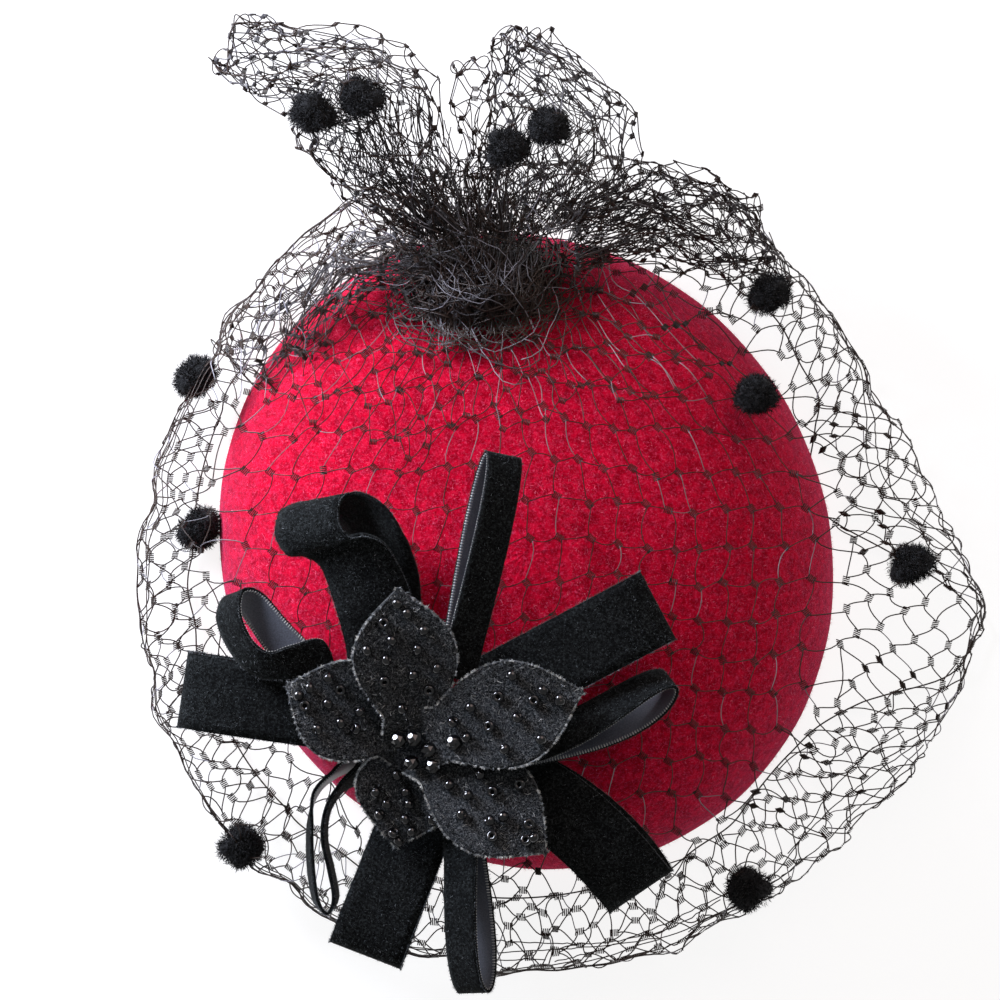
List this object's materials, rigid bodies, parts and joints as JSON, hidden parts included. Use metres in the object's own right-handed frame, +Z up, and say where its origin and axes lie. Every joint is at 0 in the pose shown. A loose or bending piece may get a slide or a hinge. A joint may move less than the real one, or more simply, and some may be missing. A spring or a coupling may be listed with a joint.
{
  "type": "fascinator",
  "caption": "Oval felt fascinator with a pouf of black net, a felt flower with glass beads, bow loops of velvet ribbon and chenille dots.",
  "frame": {"origin": "under the middle of the whole piece, on the surface that it rests on", "axes": "+Z up out of the crown; +Y towards the gathered net and its two puffs, -Y towards the wearer's front"},
  "size_m": [0.2252, 0.2594, 0.0717],
  "materials": {
    "red_felt": "matt wool felt",
    "charcoal_felt": "matt felt",
    "velvet_ribbon": "matt velvet",
    "net": "stiff millinery net",
    "glass_bead": "faceted, polished",
    "chenille": "fuzzy chenille",
    "comb_plastic": "satin"
  },
  "bodies": {
    "root": {"crown": "red_felt", "comb": "comb_plastic", "wide_loop_left": "velvet_ribbon", "wide_loop_upper_right": "velvet_ribbon", "wide_loop_lower_right": "velvet_ribbon", "wide_loop_bottom": "velvet_ribbon", "narrow_loop_top": "velvet_ribbon", "narrow_loop_right": "velvet_ribbon", "narrow_loop_bottom": "velvet_ribbon", "wide_loop_upper_left": "velvet_ribbon", "narrow_loop_upper_left": "velvet_ribbon", "narrow_loop_lower_left": "velvet_ribbon", "flower_pad": "charcoal_felt", "petal_lower_left": "charcoal_felt", "petal_lower_right": "charcoal_felt", "petal_left": "charcoal_felt", "petal_right": "charcoal_felt", "petal_top": "charcoal_felt", "centre_bead_1": "glass_bead", "centre_bead_2": "glass_bead", "centre_bead_3": "glass_bead", "centre_bead_4": "glass_bead", "centre_bead_5": "glass_bead", "centre_bead_6": "glass_bead", "veil_gather": "net", "ear_left": "net", "ear_right": "net", "dot_upper_left": "chenille", "dot_left": "chenille", "dot_lower_left": "chenille", "dot_lower_right": "chenille", "dot_right": "chenille", "dot_back_right": "chenille", "dot_front_right": "chenille", "dot_ear_left_1": "chenille", "dot_ear_left_2": "chenille", "dot_ear_right_1": "chenille", "dot_ear_right_2": "chenille", "veil": "net"}
  },
  "joints": []
}
